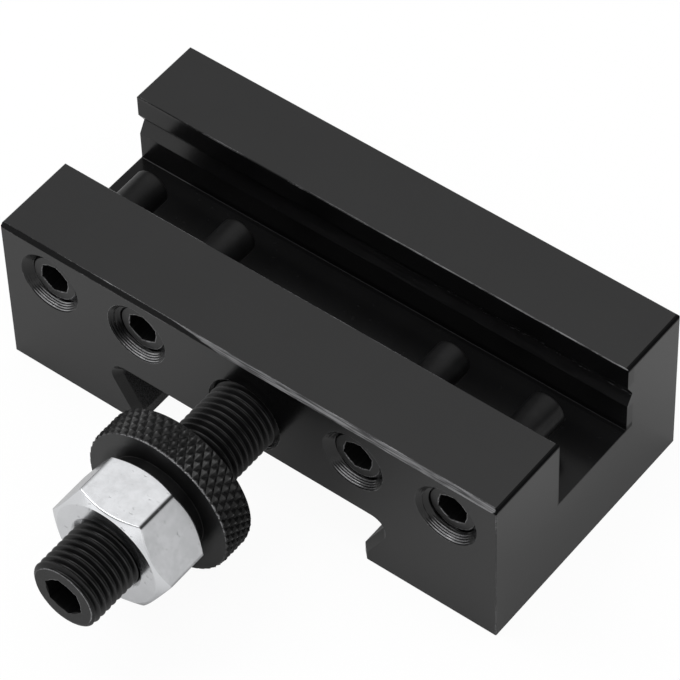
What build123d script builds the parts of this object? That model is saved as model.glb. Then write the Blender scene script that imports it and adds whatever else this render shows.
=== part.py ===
from build123d import *
import math
import os

# Quick-change tool holder for a small lathe, lying on its dovetail face.
# X runs along the tool slot, +Y from the set screw face to the far face, +Z up.
# The origin is the middle of the dovetail mouth, in the plane of the base.

# Block
block_length = 76.0
block_width = 37.5
block_height = 24.2
near_bevel = 0.55
right_bevel = 0.25
edge_break = 0.1

# Tool slot, and the V groove in its far wall that seats a round bar
near_jaw = 12.6
slot_width = 14.1
floor_height = 12.9
slot_corner_radius = 0.15
slot_edge_break = 0.1
vee_depth = 1.0
vee_angle = 120.0
vee_above_floor = 6.15

# Dovetail channel across the underside, which slides on the tool post
mouth_width = 34.9
lip_height = 1.7
channel_depth = 8.5
dovetail_angle = 60.0
channel_corner_radius = 1.2
lead_in = 1.0

# Clearances
thread_clearance = 0.05
tip_clearance = 0.4

# Tool clamping screws
screw_diameter = 8.0
screw_length = 19.3
screw_above_floor = 5.05
end_to_screw = 7.4
screw_pitch = 13.9
screw_recesses = (1.0, 1.2, 1.05, 1.35)
screw_socket_angles = (22.0, 24.0, 18.0, 21.0)
screw_hole_mouth = 9.1
screw_face_break = 0.6
screw_socket = 4.0
screw_socket_depth = 4.0
nose_diameter = 5.0
nose_length = 7.9
nose_break = 0.3

# Height stud
stud_diameter = 9.8
stud_above_channel = 6.1
stud_engagement = 8.4
stud_free_end = 7.9
stud_hole_mouth = 11.0
stud_end_break = 0.6
stud_socket = 5.0
stud_socket_depth = 6.0
stud_socket_angle = 40.0
drill_point_angle = 118.0

# Knurled height nut: a flange with a low hub on its outer face
flange_gap = 11.9
flange_diameter = 21.5
flange_thickness = 4.8
flange_break = 0.3
hub_diameter = 14.0
hub_height = 1.5
knurled_nut_mouth = 10.8

# Hexagon lock nut
lock_nut_flats = 16.0
lock_nut_thickness = 8.2
lock_nut_angle = -3.0
lock_nut_face = 15.2
lock_nut_crown_angle = 35.0
lock_nut_mouth = 12.4
lock_nut_mouth_angle = 120.0

# Places worked out from the sizes above
near_face = -block_width / 2
slot_near_wall = near_face + near_jaw
slot_far_wall = slot_near_wall + slot_width
screw_height = floor_height + screw_above_floor
stud_height = channel_depth + stud_above_channel
flange_back = near_face - flange_gap
flange_front = flange_back - flange_thickness
hub_front = flange_front - hub_height
lock_nut_front = hub_front - lock_nut_thickness
stud_tip = lock_nut_front - stud_free_end
stud_root = near_face + stud_engagement
outer_screw = block_length / 2 - end_to_screw
inner_screw = outer_screw - screw_pitch
screw_places = (-outer_screw, -inner_screw, inner_screw, outer_screw)


def along_y(x, y, z):
    # A plane at the point whose normal is +Y, whose first direction is +X and whose second is -Z
    return Plane(origin=(x, y, z), x_dir=(1, 0, 0), z_dir=(0, 1, 0))


def rod(x, z, start, end, radius):
    # A plain round bar parallel to Y from one place to another
    return extrude(along_y(x, start, z) * Circle(radius), end - start)


def cone(x, z, start, end, start_radius, end_radius):
    # A cone frustum parallel to Y
    return loft([
        along_y(x, start, z) * Circle(start_radius),
        along_y(x, end, z) * Circle(end_radius),
    ])


def point(x, z, start, radius, angle):
    # The cone that a drill of the given point angle leaves past the end of its bore
    depth = radius / math.tan(math.radians(angle / 2))
    profile = Plane(origin=(x, start, z), x_dir=(1, 0, 0), z_dir=(0, 0, 1)) * make_face(
        Polyline((0, 0), (radius, 0), (0, depth), close=True)
    )
    return revolve(profile, Axis((x, start, z), (0, 1, 0)))


def socket(x, z, mouth, depth, flats, angle):
    # A hexagon socket, broached into a drilled hole whose point shows at its bottom
    section = RegularPolygon(flats / 2, 6, major_radius=False)
    hexagon = extrude(along_y(x, mouth, z) * Rot(0, 0, -angle) * section, depth)
    return hexagon + point(x, z, mouth + depth, flats / 2, drill_point_angle)


def slot_profile():
    # The open space between the jaws, seen along X
    above = block_height + edge_break
    vee_height = floor_height + vee_above_floor
    vee_half = vee_depth * math.tan(math.radians(vee_angle / 2))
    outline = Polyline(
        (slot_near_wall, above),
        (slot_near_wall, floor_height),
        (slot_far_wall, floor_height),
        (slot_far_wall, vee_height - vee_half),
        (slot_far_wall + vee_depth, vee_height),
        (slot_far_wall, vee_height + vee_half),
        (slot_far_wall, above),
        close=True,
    )
    face = make_face(outline)
    corners = face.vertices().sort_by(Axis.Y)[:2]
    return fillet(corners, slot_corner_radius)


def slot_mouth_profile():
    # The two small bevels where the slot meets the top face
    above = block_height + edge_break
    below = block_height - slot_edge_break
    spread = slot_edge_break + edge_break
    return make_face(Polyline(
        (slot_near_wall, below),
        (slot_far_wall, below),
        (slot_far_wall + spread, above),
        (slot_near_wall - spread, above),
        close=True,
    ))


def channel_profile():
    # The dovetail, seen along Y: straight lips, then walls that lean outwards up to the ceiling
    below = -lead_in
    lip = mouth_width / 2
    wall_lean = (channel_depth - lip_height) / math.tan(math.radians(dovetail_angle))
    outline = Polyline(
        (-lip, below),
        (-lip, lip_height),
        (-lip - wall_lean, channel_depth),
        (lip + wall_lean, channel_depth),
        (lip, lip_height),
        (lip, below),
        close=True,
    )
    face = make_face(outline)
    corners = face.vertices().sort_by(Axis.Y)[-2:]
    return fillet(corners, channel_corner_radius)


def channel():
    # The channel with a bevelled lead-in all round its profile at both faces of the block
    profile = channel_profile()
    wide = offset(profile, lead_in, kind=Kind.INTERSECTION)
    passage = extrude(Plane.XZ * profile, block_width / 2 + lead_in, both=True)
    lead_ins = Part()
    for side in (-1, 1):
        face = Plane(origin=(0, side * block_width / 2, 0), x_dir=(-side, 0, 0), z_dir=(0, side, 0))
        lead_ins += extrude(face * wide, -lead_in, taper=45.0)
    return passage + lead_ins


def tapped_hole(x, z, end, diameter, mouth):
    # A hole from the near face with a 45 degree countersink at its mouth
    radius = diameter / 2 + thread_clearance
    flare = mouth / 2 - radius
    hole = rod(x, z, near_face - edge_break, end, radius)
    return hole + cone(x, z, near_face, near_face + flare, mouth / 2, radius)


def bevelled_block():
    # A wide bevel along the near top edge, a narrower one on the right end's top, all others just broken
    block = Pos(0, 0, block_height / 2) * Box(block_length, block_width, block_height)
    near_top = block.edges().filter_by(Axis.X).group_by(Axis.Z)[-1].sort_by(Axis.Y)[0]
    block = chamfer(near_top, near_bevel)
    right_top = block.edges().filter_by(Axis.Y).group_by(Axis.Z)[-1].sort_by(Axis.X)[-1]
    block = chamfer(right_top, right_bevel)
    bottom = block.edges().group_by(Axis.Z)[0]
    left_top = block.edges().filter_by(Axis.Y).group_by(Axis.Z)[-1].sort_by(Axis.X)[0]
    far_top = block.edges().filter_by(Axis.X).group_by(Axis.Z)[-1].sort_by(Axis.Y)[-1]
    upright = block.edges().filter_by(Axis.Z)
    return chamfer(bottom + upright + ShapeList([left_top, far_top]), edge_break)


def holder_body():
    block = bevelled_block()
    block -= extrude(Plane.YZ * slot_profile(), block_length / 2 + edge_break, both=True)
    block -= extrude(Plane.YZ * slot_mouth_profile(), block_length / 2 + edge_break, both=True)
    block -= channel()
    for place in screw_places:
        inside_slot = (slot_near_wall + slot_far_wall) / 2
        block -= tapped_hole(place, screw_height, inside_slot, screw_diameter, screw_hole_mouth)
    blind_end = stud_root + tip_clearance
    bore_radius = stud_diameter / 2 + thread_clearance
    block -= tapped_hole(0, stud_height, blind_end, stud_diameter, stud_hole_mouth)
    block -= point(0, stud_height, blind_end, bore_radius, drill_point_angle)
    return block


def set_screw(place, recess, socket_angle):
    # A threaded shank with a bevelled face, narrowing to a long plain nose
    face = near_face + recess
    tip = face + screw_length
    nose_root = tip - nose_length
    radius = screw_diameter / 2
    nose_radius = nose_diameter / 2
    shoulder = nose_root - (radius - nose_radius)
    profile = Polyline(
        (0, face),
        (radius - screw_face_break, face),
        (radius, face + screw_face_break),
        (radius, shoulder),
        (nose_radius, nose_root),
        (nose_radius, tip - nose_break),
        (nose_radius - nose_break, tip),
        (0, tip),
        close=True,
    )
    screw = Pos(place, 0, screw_height) * revolve(make_face(profile), Axis.Y)
    return screw - socket(place, screw_height, face, screw_socket_depth, screw_socket, socket_angle)


def height_stud():
    radius = stud_diameter / 2
    profile = Polyline(
        (0, stud_tip),
        (radius - stud_end_break, stud_tip),
        (radius, stud_tip + stud_end_break),
        (radius, stud_root - stud_end_break),
        (radius - stud_end_break, stud_root),
        (0, stud_root),
        close=True,
    )
    stud = Pos(0, 0, stud_height) * revolve(make_face(profile), Axis.Y)
    return stud - socket(0, stud_height, stud_tip, stud_socket_depth, stud_socket, stud_socket_angle)


def knurled_nut():
    bore_radius = stud_diameter / 2 + thread_clearance
    flare = knurled_nut_mouth / 2 - bore_radius
    outer = flange_diameter / 2
    profile = Polyline(
        (bore_radius, flange_back - flare),
        (bore_radius + flare, flange_back),
        (outer - flange_break, flange_back),
        (outer, flange_back - flange_break),
        (outer, flange_front + flange_break),
        (outer - flange_break, flange_front),
        (hub_diameter / 2, flange_front),
        (hub_diameter / 2, hub_front),
        (bore_radius + flare, hub_front),
        (bore_radius, hub_front + flare),
        close=True,
    )
    return Pos(0, 0, stud_height) * revolve(make_face(profile), Axis.Y)


def lock_nut():
    # A hexagon with its corners turned down on both faces, and a wide countersink at each mouth
    apothem = lock_nut_flats / 2
    section = RegularPolygon(apothem, 6, major_radius=False)
    turned = along_y(0, lock_nut_front, stud_height) * Rot(0, 0, -lock_nut_angle) * section
    hexagon = extrude(turned, lock_nut_thickness)
    corner = apothem / math.cos(math.pi / 6)
    face_radius = lock_nut_face / 2
    crown = (corner - face_radius) * math.tan(math.radians(lock_nut_crown_angle))
    bore_radius = stud_diameter / 2 + thread_clearance
    mouth = lock_nut_mouth / 2
    flare = (mouth - bore_radius) / math.tan(math.radians(lock_nut_mouth_angle / 2))
    envelope = Polyline(
        (bore_radius, lock_nut_front + flare),
        (mouth, lock_nut_front),
        (face_radius, lock_nut_front),
        (corner, lock_nut_front + crown),
        (corner, hub_front - crown),
        (face_radius, hub_front),
        (mouth, hub_front),
        (bore_radius, hub_front - flare),
        close=True,
    )
    turning = Pos(0, 0, stud_height) * revolve(make_face(envelope), Axis.Y)
    return hexagon & turning


def build():
    pieces = {"holder_body": holder_body()}
    for index, place in enumerate(screw_places):
        pieces[f"set_screw_{index + 1}"] = set_screw(
            place, screw_recesses[index], screw_socket_angles[index]
        )
    pieces["height_stud"] = height_stud()
    pieces["knurled_nut"] = knurled_nut()
    pieces["lock_nut"] = lock_nut()
    return pieces


os.makedirs("parts", exist_ok=True)
for name, piece in build().items():
    piece.label = name
    export_step(piece, f"parts/{name}.step")
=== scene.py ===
import math

import bmesh
import bpy
import numpy as np
from bpy.props import FloatProperty, FloatVectorProperty, IntProperty, PointerProperty
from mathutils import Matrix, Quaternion, Vector


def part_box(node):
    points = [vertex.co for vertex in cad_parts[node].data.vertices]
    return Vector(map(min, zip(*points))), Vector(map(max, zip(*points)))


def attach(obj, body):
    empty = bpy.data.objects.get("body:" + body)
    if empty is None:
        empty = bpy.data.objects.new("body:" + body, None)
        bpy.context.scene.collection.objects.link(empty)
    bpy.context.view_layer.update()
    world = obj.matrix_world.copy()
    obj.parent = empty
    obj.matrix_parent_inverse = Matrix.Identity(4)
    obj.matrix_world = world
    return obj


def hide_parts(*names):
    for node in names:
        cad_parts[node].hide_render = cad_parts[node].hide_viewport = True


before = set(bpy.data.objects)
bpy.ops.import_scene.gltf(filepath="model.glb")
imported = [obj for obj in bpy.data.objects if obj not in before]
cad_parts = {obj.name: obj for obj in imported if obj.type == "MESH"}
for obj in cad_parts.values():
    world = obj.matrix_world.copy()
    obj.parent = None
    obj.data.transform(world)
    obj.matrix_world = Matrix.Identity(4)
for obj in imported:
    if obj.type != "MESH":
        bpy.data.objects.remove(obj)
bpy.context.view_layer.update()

bl_info = {
    "name": "Lathe tool holder",
    "version": (1, 0, 0),
    "blender": (4, 5, 0),
    "location": "View3D > Sidebar > Tool holder",
    "description": "Threads, knurl, nut and finishes of a dovetail tool holder, round its solids",
    "category": "Add Mesh",
}

# Lengths are in metres. Every round piece lies along Y, and its angles run from +X towards +Z.
MM = 0.001
TURN = 2.0 * math.pi
WELD = 1.0e-7


# Sizes and colours that a user would change


def length(name, description, millimetres):
    """A length property, with its default given in millimetres."""
    return FloatProperty(
        name=name, description=description, default=millimetres * MM, unit="LENGTH", precision=5
    )


def angle(name, description, degrees):
    """An angle property, with its default given in degrees."""
    return FloatProperty(
        name=name, description=description, default=math.radians(degrees), unit="ROTATION"
    )


def colour(name, description, red, green, blue):
    """A linear colour property."""
    return FloatVectorProperty(
        name=name, description=description, default=(red, green, blue),
        size=3, min=0.0, max=1.0, subtype="COLOR",
    )


def share(name, description, value):
    """A number from 0 to 1."""
    return FloatProperty(
        name=name, description=description, default=value, min=0.0, max=1.0, subtype="FACTOR"
    )


class BlockSettings(bpy.types.PropertyGroup):
    """The machined block's finish."""

    near_jaw: length("Near jaw", "Thickness of the jaw that the screws pass through", 12.6)
    slot: length("Slot", "Width of the tool slot", 14.1)
    floor: length("Slot floor", "Height of the slot's floor above the base", 12.9)
    vee: length("V groove", "Height of the V groove's apex above the base", 19.05)
    vee_depth: length("V depth", "Depth of the V groove", 1.0)
    channel: length("Channel", "Height of the dovetail channel with its lead-in", 9.6)
    channel_half: length("Half channel", "Half the width of that channel at its ceiling", 22.6)
    bevel: length("Bevel", "Size of the bevel along the near top edge", 0.55)
    filed_from: length("Filed from", "Where bare steel starts to show on that bevel", -13.0)
    filed_to: length("Filed to", "Where the whole width of that bevel is bare", 2.0)
    # The dark band along the right end's top edge is painted shade: the copy that hardly mirrors is
    # mixed in there
    end_dark: length("Dark end edge", "Width of the sooty band along the right end's top edge", 0.5)
    worn_edge: length("Worn edge", "Width of the wear along an edge", 0.12)
    oxide: colour("Oxide", "Black oxide on the block", 0.0045, 0.0045, 0.0047)
    steel: colour("Bare steel", "Steel where the oxide has worn through", 0.42, 0.42, 0.43)
    gloss: share("Roughness", "Roughness of the oxide", 0.2)


class HoleSettings(bpy.types.PropertyGroup):
    """The five tapped holes."""

    screw_mouth: length("Screw hole mouth", "Diameter of a clamping screw's countersink", 9.1)
    stud_mouth: length("Stud hole mouth", "Diameter of the stud's countersink", 11.0)
    # The worn side is the middle of a countersink's painted highlight: its ring lines are bare
    # steel there only, where the light glints
    painted_highlight_middle: angle("Worn side", "Middle of the bare stretch of a countersink", -86.0)
    rings: length("Turning rings", "Distance between the cutter's rings on a countersink", 0.22)
    ring_height: length("Ring height", "Height of those rings", 0.02)


class ScrewSettings(bpy.types.PropertyGroup):
    """The four tool clamping screws."""

    pitch: length("Pitch", "Thread pitch", 1.25)
    face: length("Face", "Diameter of the flat outer face", 6.5)
    socket: length("Socket", "Hexagon socket across flats", 4.0)
    socket_depth: length("Socket depth", "Depth of the hexagon", 4.0)
    nose: length("Nose", "Diameter of the plain nose", 5.0)
    nose_length: length("Nose length", "Length of the plain nose", 7.9)
    nose_round: length("Nose rounding", "Radius at the end of the nose", 0.3)
    corners: FloatVectorProperty(
        name="Corners", description="Where a corner of each screw's socket stands",
        default=[math.radians(degrees) for degrees in (22, 24, 18, 21)], size=4, unit="ROTATION",
    )
    # The worn side is the middle of the painted highlight on the bevel round each screw's face
    painted_highlight_middle: angle("Worn side", "Middle of the bare stretch of the bevel round the face", -65.0)
    oxide: colour("Oxide", "Black oxide on the screws", 0.007, 0.007, 0.0072)


class StudSettings(bpy.types.PropertyGroup):
    """The height stud."""

    pitch: length("Pitch", "Thread pitch of the stud, its hole and both nuts", 1.0)
    end_round: length("End rounding", "Radius at the ends of the thread", 0.6)
    socket: length("Socket", "Hexagon socket across flats", 5.0)
    socket_depth: length("Socket depth", "Depth of the hexagon", 6.0)
    corner: angle("Corner", "Where a corner of the socket stands", 40.0)
    # The worn side is the middle of the painted highlight on the stud end's edges, which also wear
    # lightly all round
    painted_highlight_middle: angle("Worn side", "Middle of the worn stretch of its end's edges", 60.0)
    oxide: colour("Oxide", "Black oxide on the stud", 0.005, 0.005, 0.0052)


class KnurlSettings(bpy.types.PropertyGroup):
    """The knurled height nut."""

    hub: length("Hub", "Diameter of the low hub on its outer face", 14.0)
    hub_height: length("Hub height", "How far the hub stands out", 1.5)
    rim: length("Rim bevel", "Bevel at both rims of the knurl", 0.3)
    mouth: length("Mouth", "Diameter of the countersinks of its bore", 10.8)
    points: IntProperty(name="Points", description="Knurl points round the flange", default=51)
    row_pitch: length("Row pitch", "Distance between knurl points along the axis", 2.0)
    depth: length("Depth", "Depth of the knurl's grooves", 0.36)
    # The rubbed stretch of the front rim is partly wear and partly a painted highlight, where the
    # rim looks brightest
    rubbed: angle("Rubbed", "Middle of the stretch of front rim that is rubbed bare", 62.0)
    oxide: colour("Oxide", "Black oxide on the nut", 0.005, 0.005, 0.0052)


class LockNutSettings(bpy.types.PropertyGroup):
    """The bright hexagon lock nut."""

    flats: length("Flats", "Size across flats", 16.0)
    corner: angle("Corner", "Where a corner of the hexagon stands", -3.0)
    corner_round: length("Corner rounding", "How soft the six corners are", 0.08)
    dirty_edge: angle("Dirty edge", "Where the corner stands that a spanner has rubbed", 57.0)
    face: length("Face", "Diameter of the flat ring on each face", 15.2)
    crown: angle("Crown", "Slope of the turned corners", 35.0)
    mouth: length("Mouth", "Diameter of the countersinks of its bore", 10.8)
    mouth_angle: angle("Mouth angle", "Angle of those countersinks", 120.0)
    zinc: colour("Zinc", "Bright zinc plate", 0.79, 0.8, 0.82)


class StageSettings(bpy.types.PropertyGroup):
    """Camera, floor and light."""

    look_at: FloatVectorProperty(
        name="Look at", description="Point that the camera looks at",
        default=(-3.25 * MM, 4.16 * MM, 4.44 * MM), size=3, subtype="XYZ", unit="LENGTH",
    )
    azimuth: angle("Azimuth", "Turn of the camera round the holder", 39.34)
    elevation: angle("Elevation", "Height of the camera above the horizon", 49.95)
    roll: angle("Roll", "Turn of the camera about its own line of sight", -2.27)
    distance: length("Distance", "Distance from the camera to that point", 550.4)
    lens: FloatProperty(name="Lens", description="Focal length on a 36 mm sensor", default=230.7)
    floor_size: length("Floor", "Side of the floor", 4000.0)
    shadow: share("Shadow", "Share of the floor's own shading that the camera sees", 0.08)
    shadow_reflected: share("Reflected shadow", "The same share in reflections of the floor", 0.8)


class HolderSettings(bpy.types.PropertyGroup):
    """All the settings of the tool holder."""

    block: PointerProperty(type=BlockSettings)
    holes: PointerProperty(type=HoleSettings)
    screws: PointerProperty(type=ScrewSettings)
    stud: PointerProperty(type=StudSettings)
    knurl: PointerProperty(type=KnurlSettings)
    lock_nut: PointerProperty(type=LockNutSettings)
    stage: PointerProperty(type=StageSettings)


# Places read from the solids


class Solid:
    """The place of a solid that lies along Y: its axis, its two ends and its largest radius."""

    def __init__(self, node):
        low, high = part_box(node)
        self.x = (low.x + high.x) / 2
        self.z = (low.z + high.z) / 2
        self.front = low.y
        self.back = high.y
        self.radius = (high.x - low.x) / 2


# Surfaces round an axis, as grids of points


# Rows to a pitch, a thread's crest width and depth in pitches, and how soft its corners are
THREAD_STEPS = 16
CREST_WIDTH = 1 / 12
THREAD_DEPTH = 0.6134
THREAD_SOFTNESS = 0.07
FLANK_RUN = THREAD_DEPTH * math.tan(math.radians(30))

# Depth of a tapped thread in pitches, and the gap between it and the screw's crest
BORE_DEPTH = 0.5
GROOVE_GAP = 0.04 * MM


def smooth_min(first, second, softness):
    """The lower of two values, with the corner where they cross rounded off.

    Half of their sum less the root of their squared difference plus the squared softness.
    """
    return (first + second - np.sqrt((first - second) ** 2 + softness**2)) / 2


def ring_angles(start, count, crowding=0.0):
    """Angles of a ring's columns, once round, the first and last one at the same place.

    Within each sixth of the ring the angle is its even share less crowding times a sine, so that
    columns crowd together where two sixths meet.
    """
    step = np.arange(count + 1) / count * 6
    return start + TURN / 6 * (step - crowding * np.sin(TURN * step) / TURN)


def band(angles, along, radius):
    """Rows of a surface: the distance along Y and the radius, as numbers, columns or grids."""
    shape = np.broadcast_shapes(np.shape(along), np.shape(radius), (1, len(angles)))
    return np.stack([np.broadcast_to(along, shape), np.broadcast_to(radius, shape)])


def turned(angles, *points):
    """A band with one plain row for each (distance along Y, radius) point of a turned profile."""
    along, radius = np.array(points, float).T
    return band(angles, along[:, None], radius[:, None])


def rounded(angles, centre, radii, start, end, steps=6):
    """A band along part of an ellipse: centre plus the radii times an angle's cosine and sine."""
    turn = np.radians(np.linspace(start, end, steps + 1))[:, None]
    return band(angles, centre[0] + radii[0] * np.cos(turn), centre[1] + radii[1] * np.sin(turn))


def hexagon(angles, flats, corner, softness=0.0):
    """Radius of a hexagon at each angle.

    Half the flats over the cosine of the angle from the middle of the nearest side. Near a corner
    the next side's value comes in too, and the lower of the two is rounded off.
    """
    from_side = np.abs((angles - corner) % (TURN / 6) - TURN / 12)
    near_side = flats / 2 / np.cos(from_side)
    next_side = flats / 2 / np.cos(TURN / 6 - from_side)
    return smooth_min(near_side, next_side, softness)


def thread_form(turns):
    """Share of a thread's depth at a count of turns: 1 on the crest, at whole turns, 0 in the root.

    A straight flank either side of a flat crest, with the corners at crest and root rounded off.
    """
    from_crest = np.abs(turns - np.round(turns))
    flank = (CREST_WIDTH / 2 + FLANK_RUN - from_crest) / FLANK_RUN
    return -smooth_min(-smooth_min(flank, 1.0, THREAD_SOFTNESS), 0.0, THREAD_SOFTNESS)


def thread_rows(angles, start, end, pitch, origin, steps):
    """Rows that follow a right-handed thread: the distance along Y, and the count of turns there.

    The count is (y - origin) / pitch + angle / full turn. It stays the same along a row, so Y
    falls by a pitch over a turn. Y is held between the two ends, where the rows fall together.
    """
    first = math.ceil(((start - origin) / pitch + angles[0] / TURN) * steps)
    last = math.floor(((end - origin) / pitch + angles[0] / TURN + 1) * steps)
    count = np.arange(first - 1, last + 2)[:, None] / steps
    along = np.clip(origin + pitch * (count - angles / TURN), start, end)
    return along, (along - origin) / pitch + angles / TURN


def screw_thread(angles, start, end, pitch, origin, crest, limit):
    """A band of outside thread: root plus depth times the thread's form, cut off by limit(y)."""
    along, turns = thread_rows(angles, start, end, pitch, origin, THREAD_STEPS)
    depth = THREAD_DEPTH * pitch
    return band(angles, along, np.minimum(crest - depth + depth * thread_form(turns), limit(along)))


def bore_thread(angles, start, end, pitch, origin, crest, limit, steps):
    """A band of inside thread that the outside one of the same origin and crest runs in.

    The form's radius just outside the screw's, held out by the drilled bore, and opened further
    by limit(y).
    """
    along, turns = thread_rows(angles, start, end, pitch, origin, steps)
    groove = crest + GROOVE_GAP
    depth = THREAD_DEPTH * pitch
    drilled = groove - BORE_DEPTH * pitch
    radius = np.maximum(groove - depth + depth * thread_form(turns), drilled)
    return band(angles, along, np.maximum(radius, limit(along)))


# Slope of a drill point, a socket's mouth over its flats, and the width of a ring round an edge
POINT_SLOPE = math.tan(math.radians(59))
SOCKET_LIP = 1.06
RIM = 0.18 * MM


def socket_outline(angles, flats, corner):
    """Radius of a socket's mouth: the hexagon's or the countersink's, whichever is more."""
    return np.maximum(hexagon(angles, flats, corner), SOCKET_LIP * flats / 2)


def socket_rows(angles, mouth, depth, flats, corner, face_radius):
    """A hexagon socket from the drill point at its bottom out to the ring of the face round it.

    Its mouth is lightly countersunk: the radius is the hexagon's or the cone's, whichever is more.
    """
    sides = hexagon(angles, flats, corner)
    outline = socket_outline(angles, flats, corner)
    bottom = mouth + depth
    lip = SOCKET_LIP * flats / 2
    sunk = np.linspace(lip - flats / 2, 0, 8)[:, None]
    point = turned(angles, (bottom + flats / 2 / POINT_SLOPE, 0.0), (bottom, flats / 2))
    walls = band(angles, np.linspace(bottom, mouth + sunk[0, 0], 4)[:, None], sides)
    countersink = band(angles, mouth + sunk, np.maximum(sides, lip - sunk))
    ring = band(angles, mouth, outline + RIM)
    face = turned(
        angles, (mouth, (lip + face_radius) / 2), (mouth, face_radius - RIM), (mouth, face_radius)
    )
    return np.concatenate([point, walls, countersink, ring, face], axis=1)


def triangles_of(radius):
    """Two triangles for each cell of a grid, split along the diagonal that lies nearer the axis."""
    rows, columns = radius.shape
    index = np.arange(rows * columns).reshape(rows, columns)
    a, b = index[:-1, :-1].ravel(), index[:-1, 1:].ravel()
    d, c = index[1:, :-1].ravel(), index[1:, 1:].ravel()
    flat = radius.ravel()
    falls = (flat[a] + flat[c] <= flat[b] + flat[d])[:, None]
    first = np.where(falls, np.stack([a, b, c], 1), np.stack([a, b, d], 1))
    second = np.where(falls, np.stack([a, c, d], 1), np.stack([b, c, d], 1))
    return np.concatenate([first, second])


def mesh_piece(name, points, triangles, marks, material, sharp):
    """A welded mesh object from points, triangles and marks, each a named value for each point."""
    mesh = bpy.data.meshes.new(name)
    mesh.vertices.add(len(points))
    mesh.vertices.foreach_set("co", points.astype(np.float32).ravel())
    mesh.loops.add(triangles.size)
    mesh.loops.foreach_set("vertex_index", triangles.astype(np.int32).ravel())
    mesh.polygons.add(len(triangles))
    mesh.polygons.foreach_set("loop_start", np.arange(0, triangles.size, 3, dtype=np.int32))
    mesh.update(calc_edges=True)
    for mark, values in marks.items():
        layer = mesh.attributes.new(mark, "FLOAT", "POINT")
        layer.data.foreach_set("value", values.astype(np.float32).ravel())
    work = bmesh.new()
    work.from_mesh(mesh)
    bmesh.ops.remove_doubles(work, verts=work.verts, dist=WELD)
    bmesh.ops.dissolve_degenerate(work, edges=work.edges, dist=WELD)
    bmesh.ops.recalc_face_normals(work, faces=work.faces)
    work.to_mesh(mesh)
    work.free()
    mesh.polygons.foreach_set("use_smooth", np.ones(len(mesh.polygons), bool))
    mesh.set_sharp_from_angle(angle=math.radians(sharp))
    mesh.materials.append(material)
    piece = bpy.data.objects.new(name, mesh)
    bpy.context.scene.collection.objects.link(piece)
    return piece


def near(value, target, reach):
    """1 where a value meets its target, falling to 0 at the reach from it."""
    return np.clip(1 - np.abs(value - target) / reach, 0, 1)


def rise(value, start, width):
    """0 up to the start, then rising to 1 over the width."""
    return np.clip((value - start) / width, 0, 1)


def stretch_round(angles, middle, gain, offset, least=0.0):
    """A stretch of a ring: gain times the cosine of the angle from its middle, plus the offset."""
    return np.clip(gain * np.cos(angles - middle) + offset, least, 1)


def turned_piece(name, angles, bands, x, z, material, sharp=35.0, **rules):
    """A closed piece from bands of rows round the axis at (x, z): x + r cos, y, z + r sin.

    Each rule gives a mark, such as its wear, from the distance along Y and the radius.
    """
    along, radius = np.concatenate(bands, axis=1)
    points = np.stack([x + radius * np.cos(angles), along, z + radius * np.sin(angles)], axis=-1)
    marks = {
        mark: np.broadcast_to(rule(along, radius), radius.shape) for mark, rule in rules.items()
    }
    triangles = triangles_of(radius)
    return mesh_piece(name, points.reshape(-1, 3), triangles, marks, material, sharp)


def place(piece, body, slot, *replaced):
    """Says which body a piece rides on and which solids it stands for, which it hides; the finish,
    slot, is not used.
    """
    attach(piece, body)
    if replaced:
        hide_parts(*replaced)


# Shader graphs


# How much the copy that paints shade mirrors: where a mark mixes it in, a surface looks shaded
PAINTED_SHADE_LEVEL = 0.06


def math_method(operation):
    """A method for one of Python's operators, which adds a Math node with this operation."""

    def method(self, other):
        return self.math(operation, self, other)

    return method


class Value:
    """A number socket that arithmetic works on: each operator adds its Math node."""

    def __init__(self, graph, socket):
        self.graph = graph
        self.socket = socket

    def math(self, operation, *values):
        """The result of a Math node on these values."""
        inputs = dict(enumerate(values))
        return self.graph.add("ShaderNodeMath", {"operation": operation}, inputs, "Value")

    __add__ = __radd__ = math_method("ADD")
    __sub__ = math_method("SUBTRACT")
    __mul__ = __rmul__ = math_method("MULTIPLY")
    __truediv__ = math_method("DIVIDE")
    __gt__ = math_method("GREATER_THAN")
    __lt__ = math_method("LESS_THAN")

    def __rsub__(self, other):
        return self.math("SUBTRACT", other, self)

    def __abs__(self):
        return self.math("ABSOLUTE", self)


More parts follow.
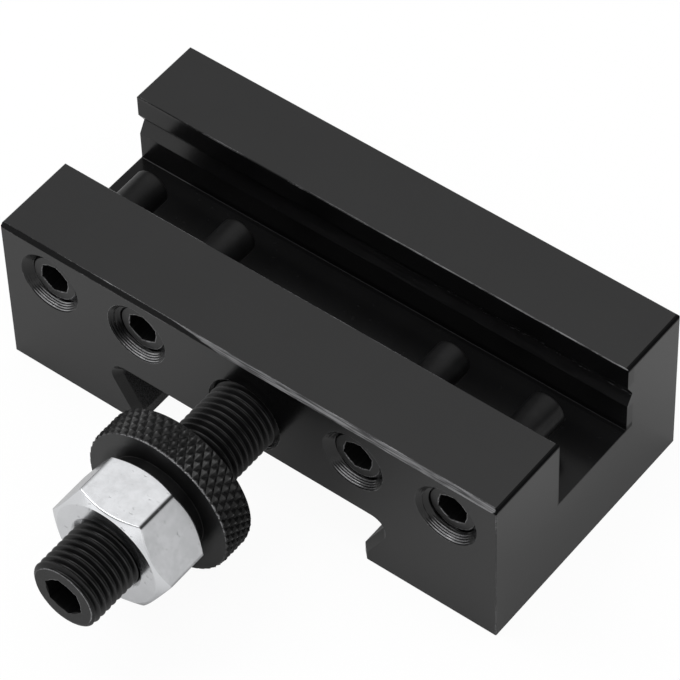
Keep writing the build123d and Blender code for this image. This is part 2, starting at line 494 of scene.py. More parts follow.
class Graph:
    """A node tree, and the one method that adds a node to it."""

    def __init__(self, tree):
        self.tree = tree
        tree.nodes.clear()

    def add(self, kind, settings, inputs, output):
        """A new node's output, with its settings set first, then its sockets set or linked."""
        node = self.tree.nodes.new(kind)
        for name, value in settings.items():
            if name == "stops":
                self.set_stops(node.color_ramp, value)
            else:
                setattr(node, name, value)
        for name, value in inputs.items():
            socket = node.inputs[name]
            if isinstance(value, Value):
                self.tree.links.new(value.socket, socket)
            else:
                socket.default_value = value
        return Value(self, node.outputs[output]) if output is not None else node

    @staticmethod
    def set_stops(ramp, stops):
        """Puts a ramp's stops at their places, each with its grey."""
        while len(ramp.elements) < len(stops):
            ramp.elements.new(1.0)
        for element, (position, grey) in zip(ramp.elements, stops):
            element.position = position
            element.color = (grey, grey, grey, 1.0)

    def coordinates(self):
        """The piece's own coordinates, in metres."""
        return self.add("ShaderNodeTexCoord", {}, {}, "Object")

    def axes(self, vector):
        """The X, Y and Z of a vector."""
        node = self.add("ShaderNodeSeparateXYZ", {}, {"Vector": vector}, None)
        return [Value(self, node.outputs[name]) for name in "XYZ"]

    def mark(self, name):
        """The value that a piece has for this mark at each of its points."""
        return self.add("ShaderNodeAttribute", {"attribute_name": name}, {}, "Fac")

    def noise(self, cells, detail, rough):
        """Noise from 0 to 1, with so many cells to the metre on each axis."""
        inputs = {"Vector": self.coordinates(), "Scale": cells}
        vector = self.add("ShaderNodeMapping", {"vector_type": "POINT"}, inputs, "Vector")
        inputs = {"Vector": vector, "Scale": 1.0, "Detail": detail, "Roughness": rough}
        return self.add("ShaderNodeTexNoise", {"noise_dimensions": "3D"}, inputs, "Fac")

    def ramp(self, value, low, high):
        """0 below low, 1 above high and a smooth rise between."""
        settings = {"interpolation_type": "SMOOTHSTEP"}
        inputs = {"Value": value, "From Min": low, "From Max": high}
        return self.add("ShaderNodeMapRange", settings, inputs, "Result")

    def blend(self, factor, first, second):
        """A mix of two colours, which go in at the Mix node's sockets 6 and 7 and come out at 2."""
        settings = {"data_type": "RGBA", "clamp_factor": True}
        return self.add("ShaderNodeMix", settings, {0: factor, 6: first, 7: second}, 2)

    def bump(self, height, distance):
        """A normal from a height, in metres for a height of 1."""
        return self.add("ShaderNodeBump", {}, {"Height": height, "Distance": distance}, "Normal")

    def surface(self, inputs, dull=0.0):
        """A material's Principled shader, mixed by the painted shade mark with a copy of it that
        hardly mirrors, which paints shade.
        """
        bright = self.add("ShaderNodeBsdfPrincipled", {}, inputs, "BSDF")
        level = {"Specular IOR Level": PAINTED_SHADE_LEVEL}
        matt = self.add("ShaderNodeBsdfPrincipled", {}, {**inputs, **level}, "BSDF")
        mixed = self.add("ShaderNodeMixShader", {}, {0: dull, 1: bright, 2: matt}, "Shader")
        self.add("ShaderNodeOutputMaterial", {}, {"Surface": mixed}, None)


def new_material(name):
    """An empty material and its graph."""
    material = bpy.data.materials.new(name)
    material.use_nodes = True
    return material, Graph(material.node_tree)


def shade(rgb, factor=1.0):
    """A colour scaled by a factor, opaque."""
    return (rgb[0] * factor, rgb[1] * factor, rgb[2] * factor, 1.0)


def oxide_material(name, oxide, steel, roughness, wear_amount, grain=1.0):
    """Black oxide on a small steel part: grain, faint blotches, and steel on the worn points.

    The wear mark times a fine noise gives the share of steel; on some pieces that mark also paints
    highlights. The painted shade mark mixes in the copy that hardly mirrors, which paints shade.
    """
    material, graph = new_material(name)
    fine = graph.noise((5200, 5200, 5200), 3.0, 0.6)
    patches = graph.noise((420, 420, 420), 3.0, 0.55)
    flecks = graph.ramp(fine, 0.3 * grain, 0.3 * grain + 0.32)
    worn = graph.ramp(graph.mark("wear") * (0.35 + patches), 0.42, 0.9)
    bare = worn * flecks * wear_amount
    tint = graph.blend(graph.ramp(patches, 0.3, 0.75), shade(oxide, 0.8), shade(oxide, 1.35))
    graph.surface({
        "Base Color": graph.blend(bare, tint, shade(steel)),
        "Metallic": bare,
        "Roughness": roughness + 0.16 * (fine - 0.5) + 0.08 * bare,
        "Normal": graph.bump(fine, 0.012 * MM * grain),
    }, graph.mark("dull"))
    return material


# The pieces


class HOLDER_OT_finish_block(bpy.types.Operator):
    """Give the machined block its black oxide, worn edges and filed bevel"""

    bl_idname = "holder.finish_block"
    bl_label = "Finish the block"

    def execute(self, context):
        settings = context.scene.tool_holder.block
        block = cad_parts["holder_body"]
        block.data.materials.clear()
        block.data.materials.append(block_material(settings))
        return {"FINISHED"}


# How near an edge counts as being on it
EDGE = 0.2 * MM

# Cells to the metre of the block's patterns, the long ones along X
BLOCK_GRAIN = (3600, 3600, 3600)
GRINDING_LAY = (160, 5200, 5200)
BLOTCHES = (90, 90, 90)
SPECKS = (1500, 1500, 1500)
LIP_DASHES = (520, 3000, 3000)
VEE_SCRATCHES = (1100, 9000, 9000)
FILED_RAGS = (420, 2500, 2500)
FILED_STREAKS = (260, 6500, 6500)

# Where along X some marks start to show, and where they are at their strongest
LIP_MARKED = (-8 * MM, 8 * MM)
APEX_MARKED = (-12 * MM, 30 * MM)
BELOW_APEX_MARKED = (-30 * MM, 0.0)
# Where along X the painted shade in the slot's far corner starts, and where it is full
CORNER_SHADE_PAINTED = (-31 * MM, -27 * MM)

# How round and how ragged the filed stretch ends, and how far from the block's end it fades out
FILED_ROUND = 1.6 * MM
FILED_RAGGED = 0.3 * MM
FILED_FADES = (0.42 * MM, 0.3 * MM)


class BlockPlaces:
    """Places on the block, each 1 there and 0 elsewhere, and what they are measured by."""

    def __init__(self, graph, settings):
        low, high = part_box("holder_body")
        x, y, z = graph.axes(graph.coordinates())
        self.x, self.z = x, z
        self.right, self.top = high.x, high.z
        near_wall = low.y + settings.near_jaw
        far_wall = near_wall + settings.slot
        across_slot = (y > near_wall - EDGE) * (y < far_wall + settings.vee_depth + EDGE)
        from_apex = abs(z - settings.vee)
        inside = (y > low.y + 5 * EDGE) * (y < high.y - 5 * EDGE) * (z > low.z + 0.1 * EDGE)

        self.channel = (z < settings.channel) * (abs(x) < settings.channel_half)
        # Painted light: the channel's walls, which take bare steel to lighten them where the block
        # shades them
        self.painted_light_ways = self.channel * inside
        self.slot = across_slot * (z < high.z - 2 * EDGE) * (z > settings.floor - EDGE)
        self.floor = self.slot * (z < settings.floor + EDGE)
        self.corner = self.slot * (z < settings.floor + 3 * EDGE) * (y > far_wall - 3 * EDGE)
        self.lip = (abs(y - far_wall) < 0.55 * EDGE) * (z > high.z - 0.55 * EDGE)
        self.vee = across_slot * (y > far_wall + 0.1 * EDGE) * (from_apex < 2 * settings.vee_depth)
        self.vee_lower = self.vee * (z < settings.vee)
        self.apex = self.vee * (from_apex < 1.5 * EDGE)
        self.near_bevel = (y < low.y + settings.bevel * 0.99) * (z > high.z - settings.bevel * 0.99)
        self.right_bevel = (x > high.x - settings.bevel) * (z > high.z - settings.bevel)
        # Painted shade: a band along the right end's top edge, darkened by the copy that hardly
        # mirrors
        self.painted_shade_right_edge = (x > high.x - settings.end_dark) * (z > high.z - settings.end_dark)


def worn_edges(graph, settings, at, fine, patches):
    """Patchy wear where a rounded edge's normal leaves the face's own, on the outer faces."""
    round_normal = graph.add(
        "ShaderNodeBevel", {"samples": 6}, {"Radius": settings.worn_edge}, "Normal"
    )
    face_normal = graph.add("ShaderNodeNewGeometry", {}, {}, "True Normal")
    inputs = {0: round_normal, 1: face_normal}
    alike = graph.add("ShaderNodeVectorMath", {"operation": "DOT_PRODUCT"}, inputs, "Value")
    outer = (1 - at.slot) * (1 - at.channel) * (1 - at.right_bevel)
    patchy = graph.ramp(patches + 0.5 * (fine - 0.5), 0.42, 0.62)
    return 0.7 * graph.ramp(1 - alike, 0.004, 0.05) * patchy * outer


def inner_marks(graph, at):
    """Dashes along the slot's far lip, scratches in the V groove, and painted light on the channel
    walls: bare steel that lightens them where the block shades them.
    """
    dashes = graph.ramp(graph.noise(LIP_DASHES, 3.0, 0.65), 0.3, 0.55)
    scratches = graph.ramp(graph.noise(VEE_SCRATCHES, 3.0, 0.7), 0.57, 0.68)
    lip = at.lip * graph.ramp(at.x, *LIP_MARKED) * dashes
    apex = at.apex * graph.ramp(at.x, *APEX_MARKED) * scratches
    below_apex = at.vee_lower * graph.ramp(at.x, *BELOW_APEX_MARKED)
    return 0.7 * lip + 0.3 * apex + 0.02 * below_apex + 0.13 * at.painted_light_ways


def filed_bevel(graph, settings, at):
    """Bare steel on the near top bevel, from none to all of its width, with a rounded right end."""
    down_bevel = (at.top - at.z) / settings.bevel
    ragged = graph.noise(FILED_RAGS, 3.0, 0.6) - 0.5
    width = 1.3 * graph.ramp(at.x, settings.filed_from, settings.filed_to) + 0.5 * ragged
    from_middle = abs(down_bevel - 0.5)
    tip = at.x + from_middle * from_middle * FILED_ROUND + FILED_RAGGED * ragged
    fades = [at.right - distance for distance in FILED_FADES]
    ended = 1 - graph.ramp(tip, *fades)
    return at.near_bevel * graph.ramp(width - down_bevel, -0.04, 0.06) * ended


def block_material(settings):
    """Black oxide over ground faces, bare on worn edges and the filed bevel, with painted shade in
    the slot and along the right end's top edge and painted light on the channel walls.
    """
    material, graph = new_material("black_oxide_block")
    at = BlockPlaces(graph, settings)
    fine = graph.noise(BLOCK_GRAIN, 2.0, 0.6)
    lay = graph.noise(GRINDING_LAY, 2.0, 0.5)
    patches = graph.noise(BLOTCHES, 3.0, 0.55)
    specks = graph.ramp(graph.noise(SPECKS, 1.0, 0.4), 0.72, 0.8)
    streaks = graph.noise(FILED_STREAKS, 2.0, 0.55)

    # Edge wear and marks, with painted light as bare steel on the channel walls
    rubbed = worn_edges(graph, settings, at, fine, patches) + inner_marks(graph, at)
    filed = filed_bevel(graph, settings, at)
    bare = rubbed.math("MAXIMUM", rubbed, filed)
    # Painted shade: the slot, its floor and its far corner take the copy that hardly mirrors, so
    # they look shaded
    far_corner = at.corner * graph.ramp(at.x, *CORNER_SHADE_PAINTED)
    dull = 0.25 * at.slot * (1 - at.vee) + 0.45 * at.floor + 0.7 * far_corner

    black, steel = settings.oxide, settings.steel
    oxide = graph.blend(graph.ramp(patches, 0.25, 0.8), shade(black, 0.85), shade(black, 1.2))
    oxide = graph.blend(specks * 0.35, oxide, shade(black, 3.0))
    metal = graph.blend(graph.ramp(streaks, 0.32, 0.66), shade(steel, 0.28), shade(steel, 1.2))
    uneven = 0.1 * (fine - 0.5) + 0.06 * (patches - 0.5)
    height = 0.5 * fine + 0.5 * lay + 2.0 * filed * streaks
    graph.surface({
        "Base Color": graph.blend(bare, oxide, metal),
        "Metallic": bare,
        "Roughness": settings.gloss + uneven + 0.14 * bare,
        "Normal": graph.bump(height, 0.006 * MM),
    }, dull + at.painted_shade_right_edge)
    return material


class HOLDER_OT_tapped_holes(bpy.types.Operator):
    """Line the block's five tapped holes with their threads and countersinks"""

    bl_idname = "holder.tapped_holes"
    bl_label = "Tapped holes"

    def execute(self, context):
        settings = context.scene.tool_holder
        steel = settings.block.steel
        oxide = settings.block.oxide
        material = oxide_material("black_oxide_holes", oxide, steel, 0.22, 0.9, grain=0.5)
        block = Solid("holder_body")
        for number in range(1, 5):
            screw = Solid(f"set_screw_{number}")
            piece = tapped_hole(
                f"tapped_hole_{number}", screw, block.front, block.front + settings.block.near_jaw,
                settings.holes.screw_mouth, settings.screws.pitch, settings.holes, material,
            )
            place(piece, "holder", "black_body")
        stud = Solid("height_stud")
        piece = tapped_hole(
            "stud_hole", stud, block.front, stud.back,
            settings.holes.stud_mouth, settings.stud.pitch, settings.holes, material,
        )
        place(piece, "holder", "black_body")
        return {"FINISHED"}


# How far a sleeve stands proud of the countersink, and how far outside the screw it ends
SLEEVE_SKIN = 0.01 * MM
SLEEVE_WALL = 0.25 * MM


def tapped_hole(name, screw, front, back, mouth, pitch, settings, material):
    """A sleeve of thread let into the wall of a plain bore.

    Its cone carries on the countersink: the radius falls by the depth, less the cutter's rings,
    which are a raised sine of the depth. Its outside lies inside the wall.
    """
    angles = ring_angles(0.0, 96)
    skin = SLEEVE_SKIN
    groove = screw.radius + GROOVE_GAP
    wall = screw.radius + SLEEVE_WALL
    start = front + mouth / 2 - groove - skin - 2 * settings.ring_height
    worn_to = start + 0.4 * pitch
    # Painted highlight on one stretch of the countersink, and painted shade on its top side
    painted_highlight_side = stretch_round(angles, settings.painted_highlight_middle, 2.4, -1.25)
    upper_painted_shade = 0.5 * stretch_round(angles, settings.painted_highlight_middle, -1.0, 0.0)

    def rings(along):
        return 0.5 - 0.5 * np.sin(TURN * (along - front) / settings.rings)

    def cone(along):
        height = 2 * settings.ring_height * (0.3 + 0.7 * painted_highlight_side)
        return mouth / 2 - (along - front) - skin - height * rings(along)

    def limit(along):
        return np.maximum(cone(along), groove - (back - along))

    # Painted highlight: bare steel on the ring lines of that stretch, near the mouth
    def wear(along, radius):
        return 1.6 * painted_highlight_side * rings(along) * (along < worn_to) * (radius < mouth / 2)

    # Painted shade: the top side, and the gaps between the highlighted ring lines
    def dull(along, radius):
        return (upper_painted_shade + 0.9 * painted_highlight_side * (1 - rings(along))) * (along < worn_to)

    outer_edge = (front + 5 * skin, mouth / 2)
    deep = np.linspace(front + 2 * skin, start, 48)[:, None]
    rows = [
        turned(angles, outer_edge),
        band(angles, deep, cone(deep)),
        bore_thread(angles, start, back, pitch, screw.front, screw.radius, limit, 24),
        turned(angles, (back - 3 * skin, wall), (start, wall), outer_edge),
    ]
    return turned_piece(name, angles, rows, screw.x, screw.z, material, wear=wear, dull=dull)


class HOLDER_OT_clamp_screws(bpy.types.Operator):
    """Turn the four tool clamping screws: socket, thread and plain nose"""

    bl_idname = "holder.clamp_screws"
    bl_label = "Clamping screws"

    def execute(self, context):
        settings = context.scene.tool_holder.screws
        steel = context.scene.tool_holder.block.steel
        material = oxide_material("black_oxide_screws", settings.oxide, steel, 0.32, 0.8)
        for number, corner in enumerate(settings.corners, start=1):
            node = f"set_screw_{number}"
            piece = clamp_screw(f"clamp_screw_{number}", Solid(node), corner, settings, material)
            place(piece, node, "black_screw", node)
        return {"FINISHED"}


# Size of the corner between a screw's shoulder and its nose
SHOULDER_SOFT = 0.1 * MM


def clamp_screw(name, screw, corner, settings, material):
    """A screw from its socket's bottom, over the face, along the thread and the nose to its tip.

    Both ends of the thread are bevelled: its radius stays below the face's plus the depth behind
    the face, and below the screw's less the distance past the shoulder.
    """
    angles = ring_angles(corner, 96)
    face, nose, end = settings.face / 2, settings.nose / 2, settings.nose_round
    nose_start = screw.back - settings.nose_length
    shoulder = nose_start - (screw.radius - nose)
    thread_end = shoulder + THREAD_DEPTH * settings.pitch + SHOULDER_SOFT
    outline = socket_outline(angles, settings.socket, corner)
    painted_highlight_side = stretch_round(angles, settings.painted_highlight_middle, 1.8, -0.4)

    def limit(along):
        at_face = face + along - screw.front
        return np.minimum(at_face, screw.radius - np.maximum(along - shoulder, 0.0))

    def wear(along, radius):
        crest = rise(radius, screw.radius - 0.12 * MM, 0.1 * MM)
        tip = near(along, screw.back - 0.7 * end, 0.3 * end) * near(radius, nose, 0.5 * end)
        ring = near(radius, outline, RIM) * near(along, screw.front, RIM)
        # Painted highlight: bare steel on one stretch of the bevel round the face
        bevel = painted_highlight_side * (radius > face - 0.01 * MM) * (along < screw.front + 0.9 * MM)
        return np.maximum.reduce([0.5 * crest, 0.5 * tip, 1.5 * ring, 1.2 * bevel])

    # Painted shade: the socket's inside, and the nose beyond the shoulder
    def dull(along, radius):
        socket_end = screw.front + 1.6 * settings.socket_depth
        in_socket = (radius < outline - 0.01 * MM) & (along < socket_end)
        return np.where(in_socket, 0.9, 0.7 * (along > shoulder))

    rows = [
        socket_rows(angles, screw.front, settings.socket_depth, settings.socket, corner, face),
        screw_thread(
            angles, screw.front, thread_end, settings.pitch, screw.front, screw.radius, limit
        ),
        turned(angles, (nose_start - SHOULDER_SOFT, nose + SHOULDER_SOFT)),
        turned(angles, (nose_start + SHOULDER_SOFT, nose), (screw.back - 2 * end, nose)),
        rounded(angles, (screw.back - end, nose - end), (end, end), 90, 0),
        turned(angles, (screw.back, 0.0)),
    ]
    return turned_piece(name, angles, rows, screw.x, screw.z, material, wear=wear, dull=dull)


class HOLDER_OT_height_stud(bpy.types.Operator):
    """Cut the height stud's thread and socket"""

    bl_idname = "holder.height_stud"
    bl_label = "Height stud"

    def execute(self, context):
        settings = context.scene.tool_holder.stud
        steel = context.scene.tool_holder.block.steel
        material = oxide_material("black_oxide_stud", settings.oxide, steel, 0.3, 0.8)
        piece = threaded_stud(Solid("height_stud"), settings, material)
        place(piece, "stud", "black_stud", "height_stud")
        return {"FINISHED"}


def threaded_stud(stud, settings, material):
    """The stud from its socket's bottom, over the face and along the thread to its inner end.

    The thread's ends are rounded: the radius is the face's, plus the rounding times the root of 1
    less the squared share of it that is still ahead.
    """
    angles = ring_angles(settings.corner, 96)
    face = stud.radius - settings.end_round
    outline = socket_outline(angles, settings.socket, settings.corner)
    # Light wear all round the end's edges, with a painted highlight where this stretch peaks
    painted_highlight_side = stretch_round(angles, settings.painted_highlight_middle, 1.6, 0.5, least=0.3)

    def limit(along):
        depth = np.minimum(along - stud.front, stud.back - along) / settings.end_round
        return face + settings.end_round * np.sqrt(1 - np.clip(1 - depth, 0, 1) ** 2)

    def wear(along, radius):
        crest = rise(radius, stud.radius - 0.05 * MM, 0.04 * MM)
        at_face = near(along, stud.front, RIM)
        rim = painted_highlight_side * near(radius, face, RIM) * at_face
        lip = painted_highlight_side * near(radius, outline, RIM) * at_face
        return np.maximum.reduce([0.66 * crest, 1.6 * rim, 1.2 * lip])

    # Painted shade: the socket's inside, the end face, and the thread's flanks and roots
    def dull(along, radius):
        inside = (radius < outline - 0.01 * MM) & (along < stud.back - 1 * MM)
        on_face = (radius < face + RIM) & (along < stud.front + RIM)
        flank = 0.5 - 0.5 * rise(radius, stud.radius - 0.16 * MM, 0.1 * MM)
        return np.where(inside, 0.9, np.where(on_face, 0.45, flank))

    depth, flats = settings.socket_depth, settings.socket
    rows = [
        socket_rows(angles, stud.front, depth, flats, settings.corner, face),
        screw_thread(
            angles, stud.front, stud.back, settings.pitch, stud.front, stud.radius, limit
        ),
        turned(angles, (stud.back, 0.0)),
    ]
    return turned_piece(
        "threaded_stud", angles, rows, stud.x, stud.z, material, wear=wear, dull=dull
    )


class HOLDER_OT_knurled_nut(bpy.types.Operator):
    """Knurl the height nut and tap its bore"""

    bl_idname = "holder.knurled_nut"
    bl_label = "Knurled nut"

    def execute(self, context):
        settings = context.scene.tool_holder.knurl
        pitch = context.scene.tool_holder.stud.pitch
        steel = context.scene.tool_holder.block.steel
        material = oxide_material("black_oxide_knurl", settings.oxide, steel, 0.34, 0.9)
        piece = knurled_nut(Solid("knurled_nut"), Solid("height_stud"), pitch, settings, material)
        place(piece, "height_nut", "black_knurl", "knurled_nut")
        return {"FINISHED"}


# Columns to a knurl point, how much of a point wear has left, and how soft its edges are
KNURL_STEPS = 12
KNURL_WORN = 0.82
KNURL_SOFT = 0.1


def knurl_height(around, across):
    """Height of a diamond knurl, 0 in a groove and 1 on a sharp point.

    The lower of two triangle waves, of the sum and of the difference of the two counts of points,
    with the points worn down.
    """
    sum_wave = 2 * np.abs(around + across - np.round(around + across))
    difference_wave = 2 * np.abs(around - across - np.round(around - across))
    points = smooth_min(sum_wave, difference_wave, KNURL_SOFT)
    return smooth_min(points, KNURL_WORN, KNURL_SOFT)


def knurled_nut(nut, stud, pitch, settings, material):
    """The flange with its knurl, the hub and the tapped bore, as one closed ring of rows.

    The knurl's radius is the outer one, less its depth, plus its height. At both rims a bevel's
    radius takes its place where that is lower.
    """
    angles = ring_angles(0.0, settings.points * KNURL_STEPS)
    front, back = nut.front, nut.back
    flange = front + settings.hub_height
    mouth, hub, outer, rim = settings.mouth / 2, settings.hub / 2, nut.radius, settings.rim
    soft = 0.05 * MM

    steps = round((back - flange) / settings.row_pitch * 16)
    along = np.linspace(flange, back, steps + 1)[:, None]
    across = (along - flange) / settings.row_pitch
    around = (angles - angles[0]) / TURN * settings.points
    height = settings.depth / KNURL_WORN * knurl_height(around, across)
    bevelled = outer - rim + np.minimum(along - flange, back - along)

    def limit(along):
        return mouth - np.minimum(along - front, back - along)

    bore = bore_thread(angles, front, back, pitch, stud.front, stud.radius, limit, 8)
    rows = [
        turned(angles, (front, mouth), (front, hub - soft), (front + soft, hub)),
        turned(angles, (flange - soft, hub), (flange, hub + soft)),
        turned(angles, (flange, (hub + outer) / 2), (flange, outer - 1.4 * rim)),
        band(angles, along, np.minimum(outer - settings.depth + height, bevelled)),
        turned(angles, (back, outer - rim), (back, (mouth + outer) / 2), (back, mouth)),
        bore[:, ::-1],
    ]

    # The front rim is worn all round; on the rubbed stretch the wear is wider and brighter, a
    # painted highlight
    rubbed = stretch_round(angles, settings.rubbed, 3.0, -1.4)

    def wear(along, radius):
        point = rise(radius, outer - 0.08 * MM, 0.06 * MM)
        edge = near(along, flange, (0.2 + 0.12 * rubbed) * MM) * (radius > outer - 1.2 * rim)
        return np.maximum(0.7 * point, edge * (0.75 + 0.7 * rubbed))

    # Painted shade: the knurl's flanks and grooves, and the edge of the hub
    def dull(along, radius):
        flank = 1 - rise(radius, outer - 0.12 * MM, 0.06 * MM)
        on_knurl = (radius > outer - 0.4 * MM) & (along > flange + rim)
        return np.maximum(0.6 * flank * on_knurl, 0.8 * near(radius, hub, 0.3 * MM))

    return turned_piece(
        "knurled_height_nut", angles, rows, nut.x, nut.z, material, sharp=25.0, wear=wear, dull=dull
    )


class HOLDER_OT_lock_nut(bpy.types.Operator):
    """Form the bright hexagon lock nut"""

    bl_idname = "holder.lock_nut"
    bl_label = "Lock nut"

    def execute(self, context):
        settings = context.scene.tool_holder.lock_nut
        pitch = context.scene.tool_holder.stud.pitch
        material = zinc_material(settings)
        piece = lock_nut(Solid("lock_nut"), Solid("height_stud"), pitch, settings, material)
        place(piece, "lock_nut", "bright_zinc", "lock_nut")
        return {"FINISHED"}


def lock_nut(nut, stud, pitch, settings, material):
    """A hexagon crowned at both faces, and its tapped bore, as one closed ring of rows.

    From the face the crown's radius grows by the depth over the tangent of its slope. The side is
    the hexagon's or the crown's, whichever is nearer the axis, rounded off where they meet.
    """
    angles = ring_angles(settings.corner, 240, 0.85)
    sides = hexagon(angles, settings.flats, settings.corner, settings.corner_round)
    face, mouth = settings.face / 2, settings.mouth / 2
    slope = math.tan(settings.crown)
    soft = 0.08 * MM

    meet = (sides - face) * slope
    close = 0.2 * MM
    share_down = np.linspace(0.0, 1.0, 6)[:, None]
    middle = (nut.back - nut.front) / 2
    depth = np.concatenate([
        share_down * (meet - close),
        meet + np.linspace(-close, close, 11)[1:, None],
        (meet + close) * (1 - share_down[1:]) + share_down[1:] * middle,
    ])
    side = smooth_min(sides, face + depth / slope, soft)

    def limit(along):
        into_bore = np.minimum(along - nut.front, nut.back - along)
        return mouth - into_bore * math.tan(settings.mouth_angle / 2)

    bore = bore_thread(angles, nut.front, nut.back, pitch, stud.front, stud.radius, limit, 12)
    rows = [
        turned(angles, (nut.front, mouth), (nut.front, face - soft)),
        band(angles, nut.front + depth, side),
        band(angles, nut.back - depth[::-1], side[::-1]),
        turned(angles, (nut.back, face - soft), (nut.back, mouth)),
        bore[:, ::-1],
    ]

    corner = settings.flats / 2 / math.cos(TURN / 12)
    dirty = np.where(np.cos(angles - settings.dirty_edge) > 0.6, 1.0, 0.4)

    def wear(along, radius):
        return dirty * rise(radius, corner - 0.19 * MM, 0.1 * MM)

    # Painted highlight: a brighter plate on the crowns, and a little brighter on the face rings
    def shine(along, radius):
        crown = (radius > face - soft / 2) & (radius < sides - soft)
        return np.where(crown, 1.0, 0.6 * ((radius > mouth - soft) & (radius < face)))

    return turned_piece(
        "hexagon_lock_nut", angles, rows, nut.x, nut.z, material, sharp=28.0, wear=wear, shine=shine
    )


# Cells to the metre of the plate's patterns
PLATE_GRAIN = (3800, 3800, 3800)
PLATE_CLOUDS = (520, 520, 520)
PLATE_LINES = (5200, 420, 5200)
PLATE_NICKS = (900, 2300, 1100)


def zinc_material(settings):
    """Bright zinc plate: faint clouds, fine lines and nicks, with grime on the rubbed corners.

    The wear mark says where the grime is, and the painted sheen mark where the plate is painted
    brighter: a painted highlight on the crowns and face rings.
    """
    material, graph = new_material("bright_zinc_plate")
    zinc = settings.zinc
    fine = graph.noise(PLATE_GRAIN, 3.0, 0.6)
    clouds = graph.noise(PLATE_CLOUDS, 4.0, 0.65)
    lines = graph.noise(PLATE_LINES, 2.0, 0.5)
    nicks = graph.ramp(graph.noise(PLATE_NICKS, 2.0, 0.55), 0.66, 0.74)
    grime = graph.mark("wear") * graph.ramp(fine + 0.4 * clouds, 0.3, 0.6)
    plate = graph.blend(graph.ramp(clouds, 0.3, 0.7), shade(zinc, 0.88), shade(zinc, 1.03))
    # Painted highlight on the crowns and face rings
    plate = graph.blend(graph.mark("shine"), plate, shade(zinc, 1.2))
    plate = graph.blend(nicks * 0.45, plate, shade(zinc, 0.4))
    plate = graph.blend(grime, plate, shade(zinc, 0.07))
    uneven = 0.1 * (clouds - 0.5) + 0.06 * (lines - 0.5)
    graph.surface({
        "Base Color": plate,
        "Metallic": 1.0,
        "Roughness": 0.2 + uneven + 0.15 * grime,
        "Normal": graph.bump(0.4 * lines + 0.15 * fine - 1.2 * nicks, 0.005 * MM),
    })
    return material


# The stage


class HOLDER_OT_stage(bpy.types.Operator):
    """Set up the camera, the white floor and the soft light"""

    bl_idname = "holder.stage"
    bl_label = "Stage"

    def execute(self, context):
        settings = context.scene.tool_holder.stage
        context.scene.view_settings.view_transform = "Standard"
        make_camera(context.scene, settings)
        make_floor(context.scene, settings)
        make_world(context.scene)
        make_lamps(context.scene, settings)
        return {"FINISHED"}


def direction(azimuth, elevation):
    """The unit vector towards something seen at an azimuth round the holder and an elevation."""
    flat = math.cos(elevation)
    return Vector((math.sin(azimuth) * flat, -math.cos(azimuth) * flat, math.sin(elevation)))


def make_camera(scene, settings):
    """A camera at the photograph's angle and distance."""
    camera = bpy.data.objects.new("camera", bpy.data.cameras.new("camera"))
    back = direction(settings.azimuth, settings.elevation)
    camera.location = Vector(settings.look_at) + back * settings.distance
    camera.rotation_mode = "QUATERNION"
    level = (-back).to_track_quat("-Z", "Y")
    camera.rotation_quaternion = level @ Quaternion((0, 0, 1), settings.roll)
    camera.data.lens = settings.lens
    camera.data.sensor_width = 36.0
    camera.data.clip_start = 0.01
    scene.collection.objects.link(camera)
    scene.camera = camera


# How far the floor lies below the block, its own grey, and how bright it is seen and mirrored
FLOOR_GAP = 0.01 * MM
FLOOR_GREY = 0.7
FLOOR_WHITE = 1.03
FLOOR_MIRRORED = 0.45


def make_floor(scene, settings):
    """A floor that the camera sees as white and mirrors as grey, with a little of its shading."""
    material, graph = new_material("white_floor")
    half = settings.floor_size / 2
    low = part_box("holder_body")[0].z - FLOOR_GAP
    mesh = bpy.data.meshes.new("floor")
    corners = [(-half, -half, low), (half, -half, low), (half, half, low), (-half, half, low)]
    mesh.from_pydata(corners, [], [(0, 1, 2, 3)])
    mesh.materials.append(material)
    floor = bpy.data.objects.new("floor", mesh)
    scene.collection.objects.link(floor)
    rays = graph.add("ShaderNodeLightPath", {}, {}, None).outputs
    kinds = ("Is Camera Ray", "Is Glossy Ray", "Is Transmission Ray")
    camera, glossy, clear = [Value(graph, rays[kind]) for kind in kinds]
    seen = (camera + clear) * (1 - settings.shadow)
    mirrored = glossy * (1 - settings.shadow_reflected)
    grey = shade((FLOOR_GREY, FLOOR_GREY, FLOOR_GREY))
    matt = graph.add("ShaderNodeBsdfDiffuse", {}, {"Color": grey}, "BSDF")
    tone = graph.blend(glossy, shade((1.0, 1.0, 1.0)), shade((1.0, 1.0, 1.0), FLOOR_MIRRORED))
    inputs = {"Color": tone, "Strength": FLOOR_WHITE}
    white = graph.add("ShaderNodeEmission", {}, inputs, "Emission")
    mixed = graph.add("ShaderNodeMixShader", {}, {0: seen + mirrored, 1: matt, 2: white}, "Shader")
    graph.add("ShaderNodeOutputMaterial", {}, {"Surface": mixed}, None)


# The studio's brightness by the sine of the height above the horizon
SKY_STOPS = (
    (0.0, 0.92), (0.2, 0.92), (0.3, 0.1), (0.38, 0.08),
    (0.5, 0.2), (0.72, 0.72), (0.82, 0.95), (1.0, 1.0),
)


def make_world(scene):
    """A studio that is bright above and at the horizon, with dark walls between."""
    world = bpy.data.worlds.new("studio")
    world.use_nodes = True
    scene.world = world
    graph = Graph(world.node_tree)
    height = graph.axes(graph.add("ShaderNodeTexCoord", {}, {}, "Generated"))[2]
    sky = graph.add("ShaderNodeValToRGB", {"stops": SKY_STOPS}, {"Fac": height}, "Color")
    light = graph.add("ShaderNodeBackground", {}, {"Color": sky, "Strength": 1.0}, "Background")
    graph.add("ShaderNodeOutputWorld", {}, {"Surface": light}, None)


# Each softbox: its name, azimuth and elevation in degrees, distance, side and brightness
LAMPS = (
    ("key_softbox", -75.0, 62.0, 1.0, 0.5, 3.5),
    ("fill_softbox", 60.0, 70.0, 1.1, 0.6, 0.9),
)


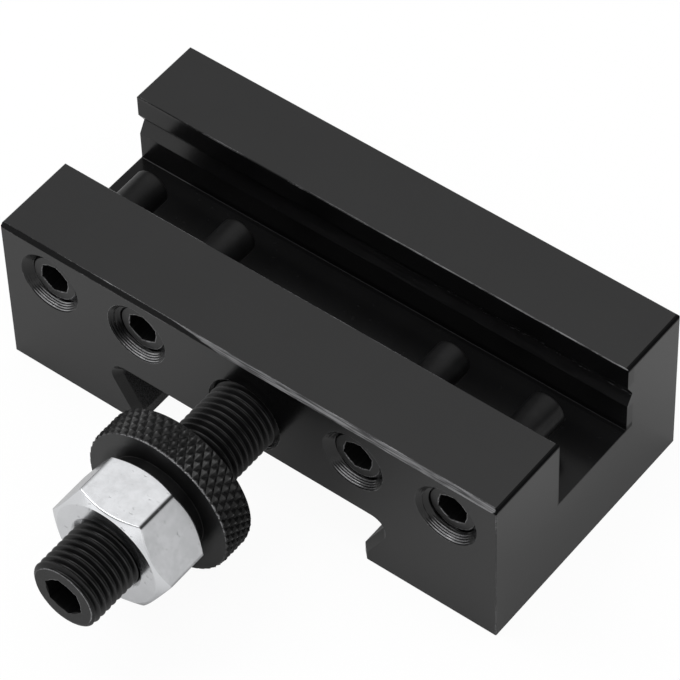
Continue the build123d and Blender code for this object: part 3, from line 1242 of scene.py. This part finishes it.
def make_lamps(scene, settings):
    """Square softboxes that point at the holder."""
    for name, azimuth, elevation, distance, side, brightness in LAMPS:
        light = bpy.data.lights.new(name, "AREA")
        light.shape = "SQUARE"
        light.size = side
        light.energy = brightness * math.pi * side * side
        lamp = bpy.data.objects.new(name, light)
        towards = direction(math.radians(azimuth), math.radians(elevation))
        lamp.location = Vector(settings.look_at) + towards * distance
        lamp.rotation_mode = "QUATERNION"
        lamp.rotation_quaternion = (-towards).to_track_quat("-Z", "Y")
        scene.collection.objects.link(lamp)


# The sidebar, and running it all


class HOLDER_PT_panel(bpy.types.Panel):
    """Lists the pieces and their settings."""

    bl_label = "Tool holder"
    bl_idname = "HOLDER_PT_panel"
    bl_space_type = "VIEW_3D"
    bl_region_type = "UI"
    bl_category = "Tool holder"

    def draw(self, context):
        settings = context.scene.tool_holder
        for operator, group in SECTIONS:
            box = self.layout.box()
            box.operator(operator.bl_idname)
            values = getattr(settings, group)
            for name in values.__annotations__:
                box.prop(values, name)


SECTIONS = (
    (HOLDER_OT_finish_block, "block"),
    (HOLDER_OT_tapped_holes, "holes"),
    (HOLDER_OT_clamp_screws, "screws"),
    (HOLDER_OT_height_stud, "stud"),
    (HOLDER_OT_knurled_nut, "knurl"),
    (HOLDER_OT_lock_nut, "lock_nut"),
    (HOLDER_OT_stage, "stage"),
)

CLASSES = (
    BlockSettings,
    HoleSettings,
    ScrewSettings,
    StudSettings,
    KnurlSettings,
    LockNutSettings,
    StageSettings,
    HolderSettings,
    *(operator for operator, group in SECTIONS),
    HOLDER_PT_panel,
)


def register():
    for one in CLASSES:
        bpy.utils.register_class(one)
    bpy.types.Scene.tool_holder = PointerProperty(type=HolderSettings)


def unregister():
    del bpy.types.Scene.tool_holder
    for one in reversed(CLASSES):
        bpy.utils.unregister_class(one)


def main():
    """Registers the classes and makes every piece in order."""
    register()
    bpy.ops.holder.finish_block()
    bpy.ops.holder.tapped_holes()
    bpy.ops.holder.clamp_screws()
    bpy.ops.holder.height_stud()
    bpy.ops.holder.knurled_nut()
    bpy.ops.holder.lock_nut()
    bpy.ops.holder.stage()


if __name__ == "__main__":
    main()
